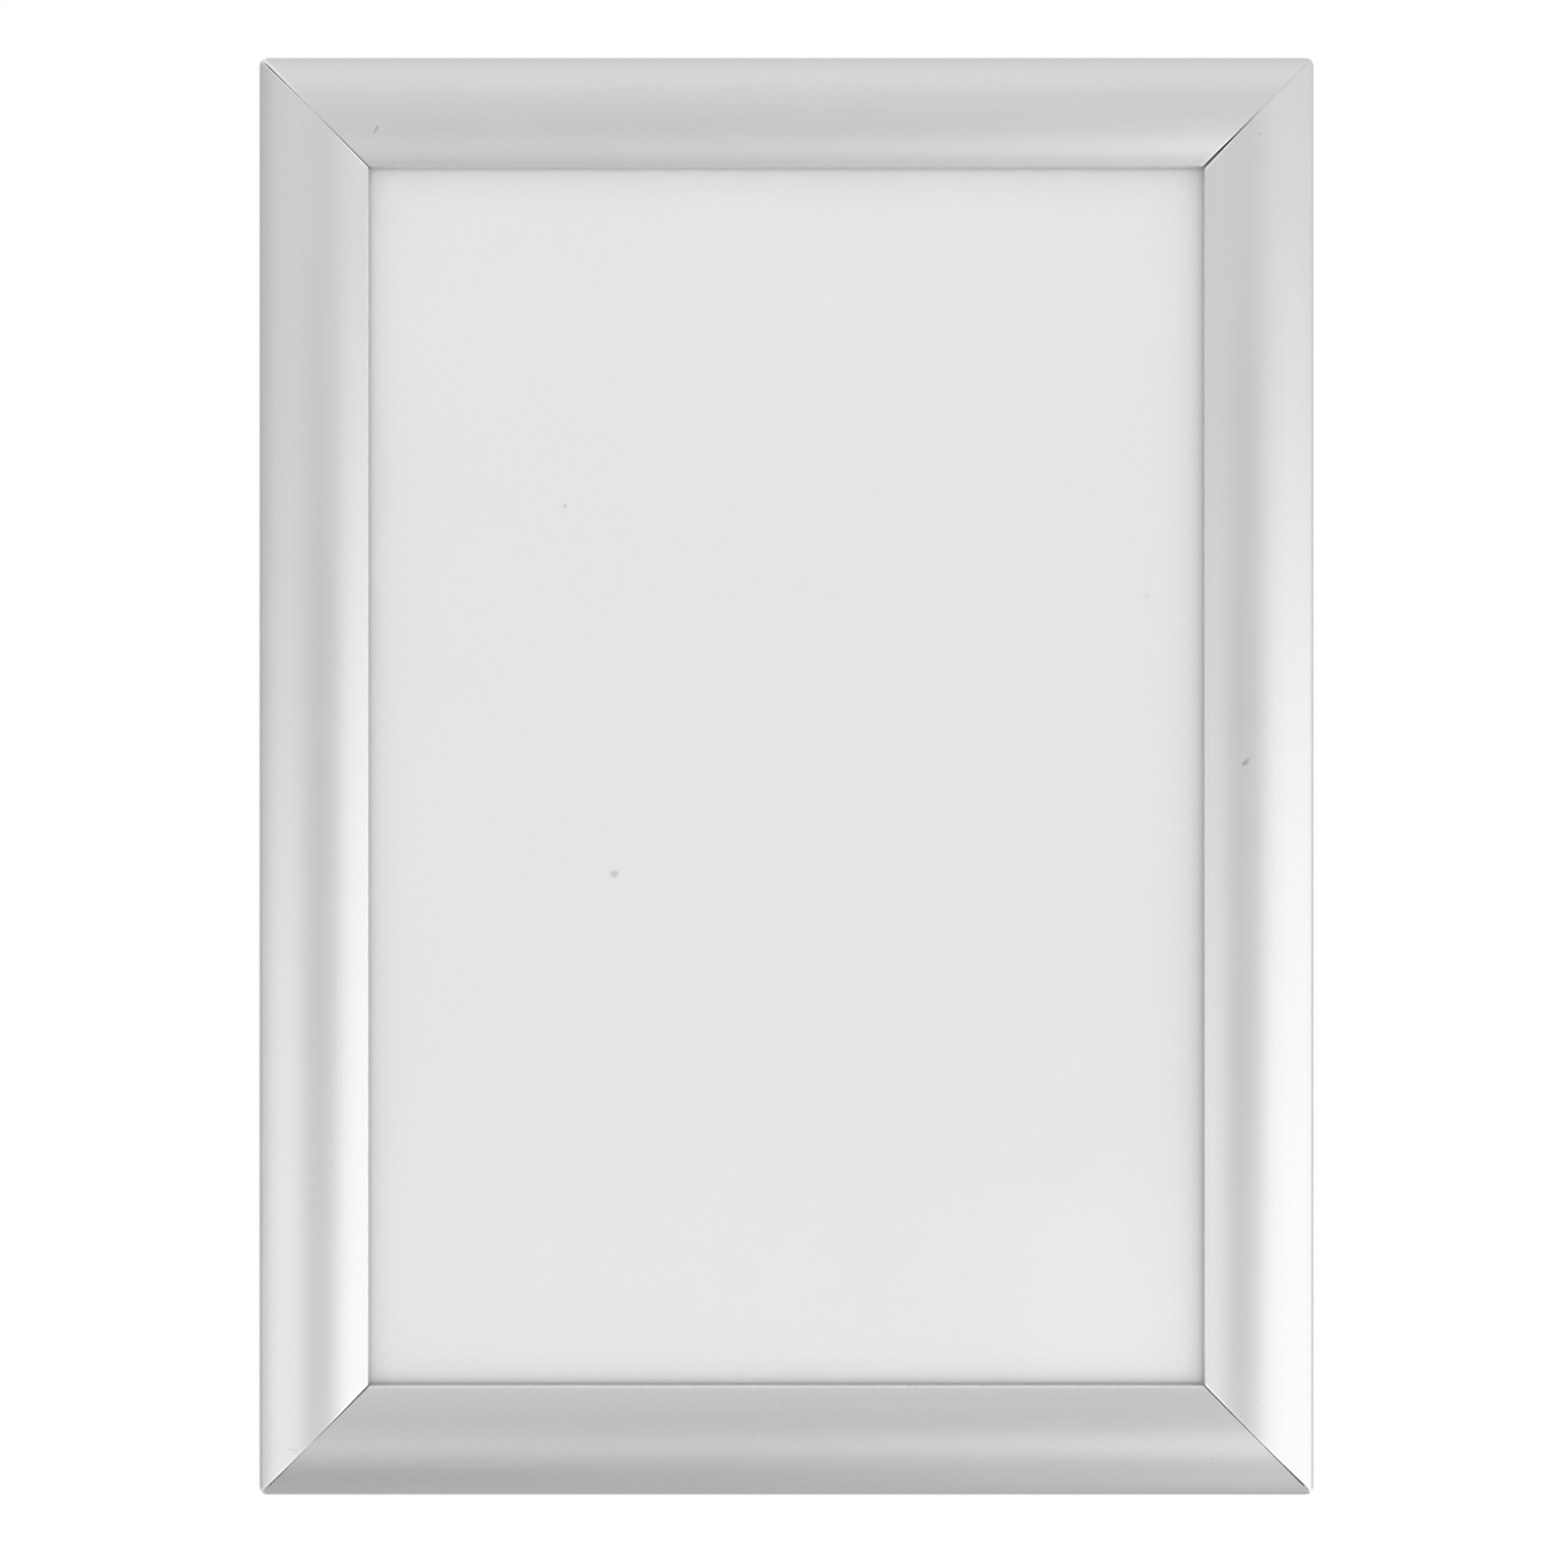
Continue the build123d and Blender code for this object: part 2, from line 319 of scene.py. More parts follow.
def roundedPath(corners, closed=True, steps=5):
    # Each corner is (u, v, radius); those with no radius stay as they are
    points = []
    count = len(corners)
    for n, (u, v, radius) in enumerate(corners):
        here = Vector((u, v))
        if radius == 0 or (not closed and n in (0, count - 1)):
            points.append(here)
            continue
        back = (Vector(corners[n - 1][:2]) - here).normalized()
        on = (Vector(corners[(n + 1) % count][:2]) - here).normalized()
        half = back.angle(on) / 2
        middle = here + (back + on).normalized() * radius / sin(half)
        first = here + back * radius / tan(half)
        last = here + on * radius / tan(half)
        a = atan2(*(first - middle).yx)
        b = atan2(*(last - middle).yx)
        sweep = (b - a + radians(180)) % radians(360) - radians(180)  # the short way round
        for m in range(steps + 1):
            angle = a + sweep * m / steps
            points.append(middle + radius * Vector((cos(angle), sin(angle))))
    return points


def shrunk(points, amount):
    # Moves a closed outline inwards, which lies to the right of its direction. The least of 1 keeps a
    # sharp corner from moving far
    moved = []
    for n, here in enumerate(points):
        before = (here - points[n - 1]).normalized()
        after = (points[(n + 1) % len(points)] - here).normalized()
        inward = Vector((before.y, -before.x)) + Vector((after.y, -after.x))
        moved.append(here + inward * 2 * amount / max(inward.length_squared, 1))
    return moved


def breakEdges(bm, edges, width, clamped=False):
    bmesh.ops.bevel(bm, geom=edges, offset=width, segments=2, profile=0.5, affect="EDGES",
                    clamp_overlap=clamped)


def shapeTree(name, inputs):
    tree = bpy.data.node_groups.new(name, "GeometryNodeTree")
    tree.interface.new_socket("Geometry", in_out="INPUT", socket_type="NodeSocketGeometry")
    for label, kind in inputs.items():
        tree.interface.new_socket(label, in_out="INPUT", socket_type="NodeSocket" + kind)
    tree.interface.new_socket("Geometry", in_out="OUTPUT", socket_type="NodeSocketGeometry")
    g = Graph(tree)
    return tree, g, g.add("NodeGroupInput", output="Geometry")


def shaped(obj, name, tree, values):
    # Runs a shape's tree on obj and returns the result as a plain mesh object
    modifier = obj.modifiers.new("shape", "NODES")
    modifier.node_group = tree
    for item in tree.interface.items_tree:
        if item.in_out == "INPUT" and item.name in values:
            modifier[item.identifier] = values[item.name]
    evaluated = obj.evaluated_get(bpy.context.evaluated_depsgraph_get())
    mesh = bpy.data.meshes.new_from_object(evaluated)
    mesh.name = name
    bpy.data.objects.remove(obj)
    return link(bpy.data.objects.new(name, mesh))


def seat(obj, side):
    # From the place where it was drawn to its side of the frame
    turn = Matrix.Rotation(radians(side["turn"]), 4, "Y")
    obj.data.transform(turn @ Matrix.Translation((0, 0, side["reach"])))


def smoothen(obj):
    obj.data.shade_smooth()
    obj.data.set_sharp_from_angle(angle=radians(sharpAngle))


# Metal finishes

noiseDetail = 3.0
streakRoughness = 0.6  # how strong the finest lines are beside the broad ones
coreShare = 0.3  # of a mark's size, within which it is at its strongest


def streaks(g, place, along, across, length, seed):
    # Fine lines that run along one axis
    scale = [1 / across] * 3
    scale["XYZ".index(along)] = 1 / length
    lines = g.add("ShaderNodeMapping", {}, {
        "Vector": place, "Scale": scale, "Location": (seed, seed, seed)})
    return g.add("ShaderNodeTexNoise", {}, {
        "Vector": lines, "Scale": 1.0, "Detail": noiseDetail, "Roughness": streakRoughness})


def cloud(g, place, size, seed):
    moved = g.add("ShaderNodeMapping", {}, {"Vector": place, "Location": (seed, seed, seed)})
    return g.add("ShaderNodeTexNoise", {}, {"Vector": moved, "Scale": 1 / size, "Detail": noiseDetail})


def swing(noise, amount):
    # A noise lies about 0.5, and this about zero
    return (noise - 0.5) * amount


def markedShare(g, place, marks, front=0.0, depth=1.0):
    # How much each of a list of small marks covers a point. A mark is (x, z, length, width, angle,
    # strength), and it reaches as deep as given behind the front
    total = 0.0
    for x, z, length, width, angle, strength in marks:
        within = g.add("ShaderNodeMapping", {"vector_type": "TEXTURE"}, {
            "Vector": place, "Location": (x, front, z), "Rotation": (0, radians(-angle), 0),
            "Scale": (length / 2, depth, width / 2)})
        total = total + g.ease(g.length(within), 1, coreShare, 0, strength)
    return total


def metal(name, along, look, paintedShade=1.0, marks=()):
    # Lines along one axis over a mottled ground, and on the flaps worn edges with painted glints, painted
    # light on the lips and small marks
    material, g = newMaterial(name)
    place = g.add("ShaderNodeTexCoord", output="Object")
    across, length, seeds = look["lineWidth"], look["lineLength"], look["seeds"]
    fine = streaks(g, place, along, across, length, seeds["fine"])
    broad = streaks(g, place, along, across * look["broadWider"], length * look["broadLonger"],
                    seeds["broad"])
    mottle = cloud(g, place, look["mottleSize"], seeds["mottle"])
    share = (0.5 + swing(fine, look["fineShare"]) + swing(broad, look["broadShare"])
             + swing(mottle, look["mottleShare"]))
    # A paintedShade under 1 darkens both ends of the colour range as painted shade
    dark, light = [[part * paintedShade for part in look[end]] for end in ("dark", "light")]
    colour = g.mixed(dark, light, share)
    if marks:
        grit = cloud(g, place, look["gritSize"], seeds["grit"])
        # Where this mask is high: bare, worn metal at the saw cuts with painted glints, and painted
        # highlights and painted light on the lips
        wearAndPaintedLight = g.attribute("wearAndPaintedLight") * (grit * look["wearAndLightGrit"] + look["wearAndLightBase"])
        colour = g.mixed(colour, look["bareAndHighlight"], g.ease(wearAndPaintedLight, look["wearAndLightFrom"], look["wearAndLightTo"]))
        marked = markedShare(g, place, marks) * (grit * look["grimeGrit"] + look["grimeBase"])
        colour = g.mixed(colour, look["grime"], marked)
    spread = look["roughnessSpread"]
    roughness = look["roughness"] + swing(broad, spread) + swing(mottle, spread)
    bump = g.add("ShaderNodeBump", {}, {
        "Height": fine, "Strength": look["bump"], "Distance": across * look["bumpShare"]})
    finishMaterial(g, g.add("ShaderNodeBsdfPrincipled", {}, {
        "Base Color": colour, "Metallic": 1.0, "Roughness": roughness, "Normal": bump}))
    return material


satinFinish = {
    "dark": (0.575, 0.575, 0.575), "light": (0.625, 0.625, 0.625), "roughness": 0.36,
    "lineWidth": 0.00035, "lineLength": 0.09, "broadWider": 9, "broadLonger": 3, "mottleSize": 0.02,
    "fineShare": 0.5, "broadShare": 0.5, "mottleShare": 0.4, "roughnessSpread": 0.05,
    "bump": 0.25, "bumpShare": 0.1,
    "bareAndHighlight": (0.86, 0.86, 0.86), "wearAndLightGrit": 0.9, "wearAndLightBase": 0.55, "wearAndLightFrom": 0.05, "wearAndLightTo": 0.7,
    "grime": (0.16, 0.16, 0.16), "grimeGrit": 1.4, "grimeBase": 0.3, "gritSize": 0.0011,
    "seeds": {"fine": 0.3, "broad": 0.7, "mottle": 0.5, "grit": 0.6},
}
millFinish = {
    **satinFinish, "dark": (0.52, 0.52, 0.525), "light": (0.60, 0.60, 0.60),
    "lineWidth": 0.0005, "broadShare": 0.9, "roughnessSpread": 0.10, "bump": 0.45,
}
sawnFinish = {
    **satinFinish, "dark": (0.66, 0.66, 0.66), "light": (0.80, 0.80, 0.80), "roughness": 0.26,
    "lineWidth": 0.00012, "lineLength": 0.004, "fineShare": 1.2, "bump": 0.6,
}
steelFinish = {
    **satinFinish, "dark": (0.42, 0.42, 0.43), "light": (0.58, 0.58, 0.60), "roughness": 0.24,
    "lineWidth": 0.0002, "lineLength": 0.03, "bump": 0.3,
}
zincFinish = {
    **satinFinish, "dark": (0.50, 0.51, 0.53), "light": (0.66, 0.66, 0.67), "roughness": 0.34,
    "mottleSize": 0.003, "mottleShare": 1.2, "bump": 0.2,
}

railMetal = {axis: metal("railAluminium" + axis, axis, millFinish) for axis in "XZ"}
sawnMetal = metal("sawnAluminium", "Y", sawnFinish)
springMetal = {axis: metal("springSteel" + axis, axis, steelFinish) for axis in "XZ"}
keyMetal = metal("zincSteel", "X", zincFinish)
print("shared metals ready")


# Front flaps: an extruded section with mitred, deburred ends

flap = {
    "hookInner": 0.0011, "hookOuter": 0.0020, "hookFrom": -18, "hookTo": 168,
    "domeSlope": 30, "domeWall": 0.0012, "width": 0.025, "shoulder": 0.0005,
    "lipWall": 0.0011, "lipBack": 0.0057, "lipFront": 0.0085, "lipEdge": 0.0002,
    "legFrom": 0.0032, "legTo": 0.0041, "legSetback": 0.008,
    "cupInner": 0.0007, "cupOuter": 0.0012, "cupFrom": 38, "cupTo": 208,
    "cornerRadius": 0.0008, "hookEndGap": 0.0003, "burr": 0.00005, "wearAndGlintBand": 0.0009,
    "gapMiddle": 0.0125, "gapLeast": 0.00001, "wander": 0.00005, "wanderLength": 0.0025,
    "sawnFacing": 0.2,
    "steps": {"hookOutside": 18, "dome": 72, "shoulder": 8, "domeInside": 36, "hookInside": 30,
              "cupFront": 10, "cupInside": 20, "cupBack": 6},
    "mitreGaps": {  # at the outer point, in the middle and at the inner point
        "topLeft": (0.00032, 0.00002, 0.00022), "topRight": (0.00003, 0.00002, 0.00066),
        "bottomLeft": (0.00026, 0.00003, 0.00036), "bottomRight": (0.00040, 0.00011, 0.00028),
    },
    "seeds": {"topLeft": 3.0, "topRight": 11.0, "bottomRight": 23.0, "bottomLeft": 37.0},
    "wearAndGlintEnds": {  # how bare the edge of each saw cut is, with a painted glint on it, at the same places, at the +X and the -X end
        "top": ((0.1, 0.1, 0.8), (1.0, 0.2, 0.2)), "right": ((0.55, 0.4, 0.7), (0.1, 0.1, 0.8)),
        "bottom": ((0.1, 0.1, 0.3), (0.2, 0.2, 0.3)), "left": ((0.7, 0.2, 0.7), (0.75, 0.3, 1.0)),
    },
    "paintedLipLight": {  # painted light: a painted highlight on each lip's rounded shoulder, and on its upright face, which lightens the shade where the lip meets the sheet
        "top": (0.55, 0.5), "right": (0.7, 0.3), "bottom": (0.7, 0.0), "left": (0.6, 0.4),
    },
    "paintedSideShades": {"top": 1.0, "right": 1.0, "bottom": 0.91, "left": 1.0},  # painted shade: the bottom flap's colours are made darker, as less light reaches it
    "marks": {  # x, z, length, width, angle and strength of the small knocks and scratches
        "top": [
            (-0.0929, 0.1464, 0.0032, 0.0007, 60, 0.42), (-0.1007, 0.1598, 0.0022, 0.0009, 0, 0.08)],
        "right": [
            (0.1072, 0.1454, 0.0010, 0.0007, 50, 0.30), (0.1041, 0.0033, 0.0030, 0.0014, 45, 0.36),
            (0.1035, 0.0027, 0.0012, 0.0010, 0, 0.30), (0.1078, -0.1427, 0.0016, 0.0004, -8, 0.18)],
        "bottom": [
            (0.0963, -0.1545, 0.0011, 0.0008, 90, 0.16), (-0.0954, -0.1536, 0.0008, 0.0007, 0, 0.16),
            (-0.0958, -0.1449, 0.0008, 0.0006, 20, 0.12), (-0.0871, -0.1576, 0.0008, 0.0006, 70, 0.14),
            (-0.0075, -0.1491, 0.0012, 0.0007, 15, 0.22), (-0.0010, -0.1420, 0.0032, 0.0005, 88, 0.18)],
        "left": [
            (-0.1173, -0.1538, 0.0008, 0.0006, 0, 0.30), (-0.1119, -0.1525, 0.0038, 0.0005, -12, 0.28)],
    },
}


def cupCentre(sizes):
    # The springs' seat in the flap. Seen from the hinge, it lies as many degrees below the rail's seat
    # when the flap is shut as above it when the flap is open
    across = sizes["legFrom"] + sizes["cupOuter"] - hinge.x
    shutAngle = atan2(*(railSeat - hinge).yx) - radians(openAngle) / 2
    return hinge + Vector((across, across * tan(shutAngle)))


def flapOutlines(sizes):
    # The cover's closed outline, clockwise, the two places in it where the leg hangs, and the leg's
    # own points
    steps = sizes["steps"]
    width, legTo, lipBack, lipEdge = sizes["width"], sizes["legTo"], sizes["lipBack"], sizes["lipEdge"]
    slope = radians(sizes["domeSlope"])
    start = 90 + sizes["domeSlope"]
    first = arcPoints(hinge, sizes["hookOuter"], start, start, 1)[0]
    half = (width - first[0]) / 2
    radius = half / sin(slope)
    centre = (first[0] + half, first[1] - radius * cos(slope))
    inner = radius - sizes["domeWall"]
    shoulder = sizes["shoulder"]
    shoulderX = width - shoulder
    shoulderAngle = degrees(acos((shoulderX - centre[0]) / (radius - shoulder)))
    shoulderCentre = (shoulderX, centre[1] + (radius - shoulder) * sin(radians(shoulderAngle)))
    lipInside = width - sizes["lipWall"]

    def innerAngle(u):
        return degrees(acos((u - centre[0]) / inner))

    low = arcPoints(hinge, sizes["hookInner"], sizes["hookFrom"], sizes["hookFrom"], 1)[0]
    cover = arcPoints(hinge, sizes["hookOuter"], sizes["hookTo"], start, steps["hookOutside"])
    cover += arcPoints(centre, radius, start, shoulderAngle, steps["dome"])[1:]
    cover += arcPoints(shoulderCentre, shoulder, shoulderAngle, 0, steps["shoulder"])[1:]
    cover += [(width, lipBack, lipEdge), (lipInside, lipBack, lipEdge)]
    cover += arcPoints(centre, inner, innerAngle(lipInside), innerAngle(legTo), steps["domeInside"])
    cover += [(legTo, low[1], 0), (sizes["legFrom"], low[1], 0)]
    cover += arcPoints(hinge, sizes["hookInner"], sizes["hookFrom"], sizes["hookTo"], steps["hookInside"])
    points = roundedPath(cover)
    hang = [points.index(Vector((u, low[1]))) for u in (legTo, sizes["legFrom"])]

    cup = cupCentre(sizes)
    outside, inside = sizes["cupOuter"], sizes["cupInner"]
    join = degrees(acos((legTo - cup.x) / outside))
    leg = arcPoints(cup, outside, join, sizes["cupFrom"], steps["cupFront"])
    leg += arcPoints(cup, inside, sizes["cupFrom"], sizes["cupTo"], steps["cupInside"])
    leg += arcPoints(cup, outside, sizes["cupTo"], 180, steps["cupBack"])
    return points, hang, roundedPath(leg)


def flapBlank(sizes):
    # The section as rings along X from -1 to 1, which the tree then sets to their real places
    cover, (hangTo, hangFrom), leg = flapOutlines(sizes)
    small = shrunk(cover, sizes["burr"])
    bm = bmesh.new()
    layers = {name: bm.verts.layers.float.new(name) for name in ("stepBack", "atEnd", "atLeg")}

    def ring(points, x, **values):
        made = []
        for u, v in points:
            vert = bm.verts.new((x, -v, -u))
            for name, value in values.items():
                vert[layers[name]] = value
            made.append(vert)
        return made

    def skin(one, two, closed=True, skip=None):
        for n in range(len(one) if closed else len(one) - 1):
            if n != skip:
                m = (n + 1) % len(one)
                bm.faces.new((one[n], one[m], two[m], two[n]))

    def cap(verts, points):
        for triangle in tessellate_polygon([[(p.x, p.y, 0) for p in points]]):
            bm.faces.new([verts[n] for n in triangle])

    burr = sizes["burr"]
    band = burr + sizes["wearAndGlintBand"]
    halves = []
    for x in (-1, 1):
        halves.append([ring(small, x, atEnd=1), ring(cover, x, stepBack=burr, atEnd=1),
                       ring(cover, x, stepBack=band), ring(cover, x, stepBack=2 * band, atLeg=1)])
    rings = halves[0] + halves[1][::-1]
    legStart = len(halves[0]) - 1  # the leg hangs between this ring and the next
    for n in range(len(rings) - 1):
        skin(rings[n], rings[n + 1], skip=hangTo if n == legStart else None)
    cap(rings[0], small)
    cap(rings[-1], small)
    legs = []
    for n, x in ((legStart, -1), (legStart + 1, 1)):
        own = ring(leg, x, stepBack=2 * band, atLeg=1)
        legs.append([rings[n][hangTo], *own, rings[n][hangFrom]])
        cap(legs[-1], [cover[hangTo], *leg, cover[hangFrom]])
    skin(legs[0], legs[1], closed=False)
    bmesh.ops.recalc_face_normals(bm, faces=bm.faces)
    return meshObject("flapBlank", bm)


def flapTree():
    tree, g, source = shapeTree("mitredFlap", {
        "Half Length": "Float", "Width": "Float", "Shoulder": "Float", "Lip Front": "Float",
        "Gaps At Plus End": "Vector", "Gaps At Minus End": "Vector",
        "Wear And Glint At Plus End": "Vector", "Wear And Glint At Minus End": "Vector",
        "Seed At Plus End": "Float", "Seed At Minus End": "Float",
        "Shoulder Highlight": "Float", "Lip Face Painted Light": "Float",
        "Gap Middle": "Float", "Gap Least": "Float", "Wander": "Float", "Wander Length": "Float",
        "Hinge U": "Float", "Hinge V": "Float", "Open Angle": "Float", "Hook End Gap": "Float",
        "Corner Radius": "Float", "Leg Setback": "Float", "Sawn Facing": "Float",
        "Finish": "Material", "Sawn Finish": "Material"})
    given = source.output
    axes = g.add("ShaderNodeSeparateXYZ", {}, {0: g.add("GeometryNodeInputPosition")})
    end, u, v = axes, 0 - axes.output("Z"), 0 - axes.output("Y")
    plus = g.maths("GREATER_THAN", end, 0.0)

    def atEnd(label, kind="VECTOR", slots=(4, 5), out=1):
        # The value of this end, from the inputs of the minus and the plus end
        return g.add("ShaderNodeMix", {"data_type": kind}, {
            0: plus, slots[0]: given(label + " At Minus End"), slots[1]: given(label + " At Plus End")},
            output=out)

    def across(label):
        # From the outer point over the middle of the mitre to the inner point
        values = g.add("ShaderNodeSeparateXYZ", {}, {0: atEnd(label)})
        toMiddle = g.add("ShaderNodeMapRange", {}, {0: u, 1: 0.0, 2: given("Gap Middle")})
        toInner = g.add("ShaderNodeMapRange", {}, {0: u, 1: given("Gap Middle"), 2: given("Width")})
        middle = values.output("Y")
        return values + (middle - values) * toMiddle + (values.output("Z") - middle) * toInner

    # How far each point stands back from the corner along X: behind the mitre, which gives half of the
    # gap, behind the rounded outer corner, and at the hook behind the mitre plane of the open flap
    backShare = sqrt(0.5)
    noise = g.add("ShaderNodeTexNoise", {"noise_dimensions": "1D"}, {
        "W": u / given("Wander Length") + atEnd("Seed", "FLOAT", (2, 3), 0), "Scale": 1.0, "Detail": 2.0})
    opening = g.larger(across("Gaps") + swing(noise, given("Wander")), given("Gap Least"))
    mitre = u + opening * backShare
    radius = given("Corner Radius")
    inside = g.larger(radius - u, 0.0)
    corner = radius - g.larger(radius * radius - inside * inside, 0.0) ** 0.5
    hingeU, hingeV, turn = given("Hinge U"), given("Hinge V"), given("Open Angle")
    openU = hingeU + (u - hingeU) * g.maths("COSINE", turn) - (v - hingeV) * g.maths("SINE", turn)
    hookEnd = openU + given("Hook End Gap") * backShare
    reach = g.larger(mitre, g.larger(corner, hookEnd)) + g.named("stepBack")
    reach = reach + (g.larger(given("Leg Setback"), reach) - reach) * g.named("atLeg")
    x = end * (given("Half Length") - reach)
    moved = g.add("ShaderNodeCombineXYZ", {}, {0: x, 1: axes.output("Y"), 2: axes.output("Z")})

    # Bare metal with a painted glint along the saw cut, a painted highlight on the shoulder and painted
    # light on the lip's upright face
    shoulder = g.add("ShaderNodeMapRange", {}, {
        0: u, 1: given("Width") - given("Shoulder"), 2: given("Width")})
    upright = g.maths("LESS_THAN", v, given("Lip Front")) * g.maths("GREATER_THAN", shoulder, 0.5)
    # Painted highlight on the shoulder, and painted light on the upright face that lightens the shade at
    # the lip's foot
    lip = shoulder * given("Shoulder Highlight") * (1 - upright) + upright * given("Lip Face Painted Light")
    wearAndPaintedLight = g.larger(across("Wear And Glint") * g.named("atEnd"), lip)

    marked = g.add("GeometryNodeStoreNamedAttribute", {"data_type": "FLOAT"}, {
        "Geometry": source, "Name": "wearAndPaintedLight", "Value": wearAndPaintedLight})
    placed = g.add("GeometryNodeSetPosition", {}, {"Geometry": marked, "Position": moved})
    normal = g.add("ShaderNodeSeparateXYZ", {}, {0: g.add("GeometryNodeInputNormal")})
    endFace = g.maths("GREATER_THAN", g.maths("ABSOLUTE", normal), given("Sawn Facing"))
    real = g.add("GeometryNodeRealizeInstances", {}, {"Geometry": placed})
    satin = g.add("GeometryNodeSetMaterial", {}, {"Geometry": real, "Material": given("Finish")})
    sawn = g.add("GeometryNodeSetMaterial", {}, {
        "Geometry": satin, "Selection": endFace, "Material": given("Sawn Finish")})
    g.add("NodeGroupOutput", {}, {"Geometry": sawn})
    return tree


flapShape = flapTree()
flapSizes = {
    "Width": flap["width"], "Shoulder": flap["shoulder"], "Lip Front": flap["lipFront"],
    "Gap Middle": flap["gapMiddle"], "Gap Least": flap["gapLeast"],
    "Wander": flap["wander"], "Wander Length": flap["wanderLength"],
    "Hinge U": hinge.x, "Hinge V": hinge.y, "Open Angle": radians(openAngle),
    "Hook End Gap": flap["hookEndGap"], "Corner Radius": flap["cornerRadius"],
    "Leg Setback": flap["legSetback"], "Sawn Facing": flap["sawnFacing"], "Sawn Finish": sawnMetal,
}
for sideName, side in sides.items():
    plusEnd, minusEnd = side["ends"]
    wearGlintPlus, wearGlintMinus = flap["wearAndGlintEnds"][sideName]
    shoulderHighlight, uprightPaintedLight = flap["paintedLipLight"][sideName]
    # Each side has its own copy of the finish; the bottom one is darkened as painted shade
    satinMetal = metal("flapAluminium_" + sideName, side["along"], satinFinish,
                       flap["paintedSideShades"][sideName], flap["marks"][sideName])
    piece = shaped(flapBlank(flap), "flap_cover_" + sideName, flapShape, {
        **flapSizes, "Half Length": side["half"], "Finish": satinMetal,
        "Gaps At Plus End": flap["mitreGaps"][plusEnd], "Gaps At Minus End": flap["mitreGaps"][minusEnd],
        "Seed At Plus End": flap["seeds"][plusEnd], "Seed At Minus End": flap["seeds"][minusEnd],
        "Wear And Glint At Plus End": wearGlintPlus, "Wear And Glint At Minus End": wearGlintMinus,
        "Shoulder Highlight": shoulderHighlight, "Lip Face Painted Light": uprightPaintedLight})
    seat(piece, side)
    smoothen(piece)
    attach(piece, "flap_" + sideName)
    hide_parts("front_flap_" + sideName)
print("flaps ready")


# Rear rails and corner keys: the frame's own shapes, with the rails' sharp edges broken

rail = {"edgeBreak": 0.00012, "edgeAngle": 40, "mergeWithin": 0.000001, "flatAngle": 0.5}


def railPiece(sideName, sizes):
    bm = bmesh.new()
    bm.from_mesh(frame["nodes"]["rear_rail_" + sideName].data)
    bmesh.ops.remove_doubles(bm, verts=bm.verts, dist=sizes["mergeWithin"])
    bmesh.ops.dissolve_limit(bm, verts=bm.verts, edges=bm.edges, angle_limit=radians(sizes["flatAngle"]))
    sharp = [edge for edge in bm.edges if edge.calc_face_angle(0) > radians(sizes["edgeAngle"])]
    breakEdges(bm, sharp, sizes["edgeBreak"], clamped=True)
    piece = meshObject("rear_channel_" + sideName, bm)
    piece.data.materials.append(railMetal[sides[sideName]["along"]])
    return piece


for sideName in sides:
    piece = railPiece(sideName, rail)
    smoothen(piece)
    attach(piece, "frame")
    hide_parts("rear_rail_" + sideName)

for node in frame["nodes"]:
    if node.startswith("corner_key_"):
        mesh = frame["nodes"][node].data
        mesh.materials.clear()
        mesh.materials.append(keyMetal)
print("rails and keys ready")


# Leaf springs: a bowed strip with an eye rolled at each end, two to a side

leaf = {
    "length": 0.022, "thickness": 0.00035, "eyeRadius": 0.0006, "eyeTurn": 278, "eyeFrom": -45,
    "neckRadius": 0.0003, "footShare": 0.228, "footRadius": 0.0007, "crownHeight": 0.0042, "lean": 0.0003,
    "crownShare": 0.385, "edgeBreak": 0.00005, "placeShare": 0.25, "eyeSteps": 40, "bendSteps": 10,
}


def ribbon(points, thickness):
    # Closed outline of a strip with the given middle line
    left = []
    right = []
    for n, here in enumerate(points):
        before = points[max(n - 1, 0)]
        after = points[min(n + 1, len(points) - 1)]
        ahead = (after - before).normalized()
        off = Vector((-ahead.y, ahead.x)) * thickness / 2
        left.append(here + off)
        right.append(here - off)
    return left + right[::-1]


def leafLine(sizes):
    # Middle line of the strip over the line between its two seats, from one rolled end to the other
    cup = cupCentre(flap)
    span = (railSeat - cup).length
    eyeFrom, lean, height = sizes["eyeFrom"], sizes["lean"], sizes["crownHeight"]
    roll = sizes["eyeRadius"] - sizes["thickness"] / 2
    neck = roll / cos(radians(eyeFrom))  # where the strip comes off the roll onto the line
    foot = span * sizes["footShare"]
    turn = arcPoints((0, 0), roll, eyeFrom - sizes["eyeTurn"], eyeFrom, sizes["eyeSteps"])
    eye = [Vector(point[:2]) for point in turn]
    crown = (span - 2 * foot + 2 * lean) * sizes["crownShare"]
    half = roundedPath([
        (*eye[-1], 0), (neck, 0, sizes["neckRadius"]), (foot, 0, sizes["footRadius"]),
        (foot - lean, height, crown), (span / 2, height, 0)], closed=False, steps=sizes["bendSteps"])
    near = eye[:-1] + half
    far = [Vector((span - p.x, p.y)) for p in near[-2::-1]]
    slope = atan2(*(railSeat - cup).yx)
    return [cup + Matrix.Rotation(slope, 2) @ p for p in near + far]


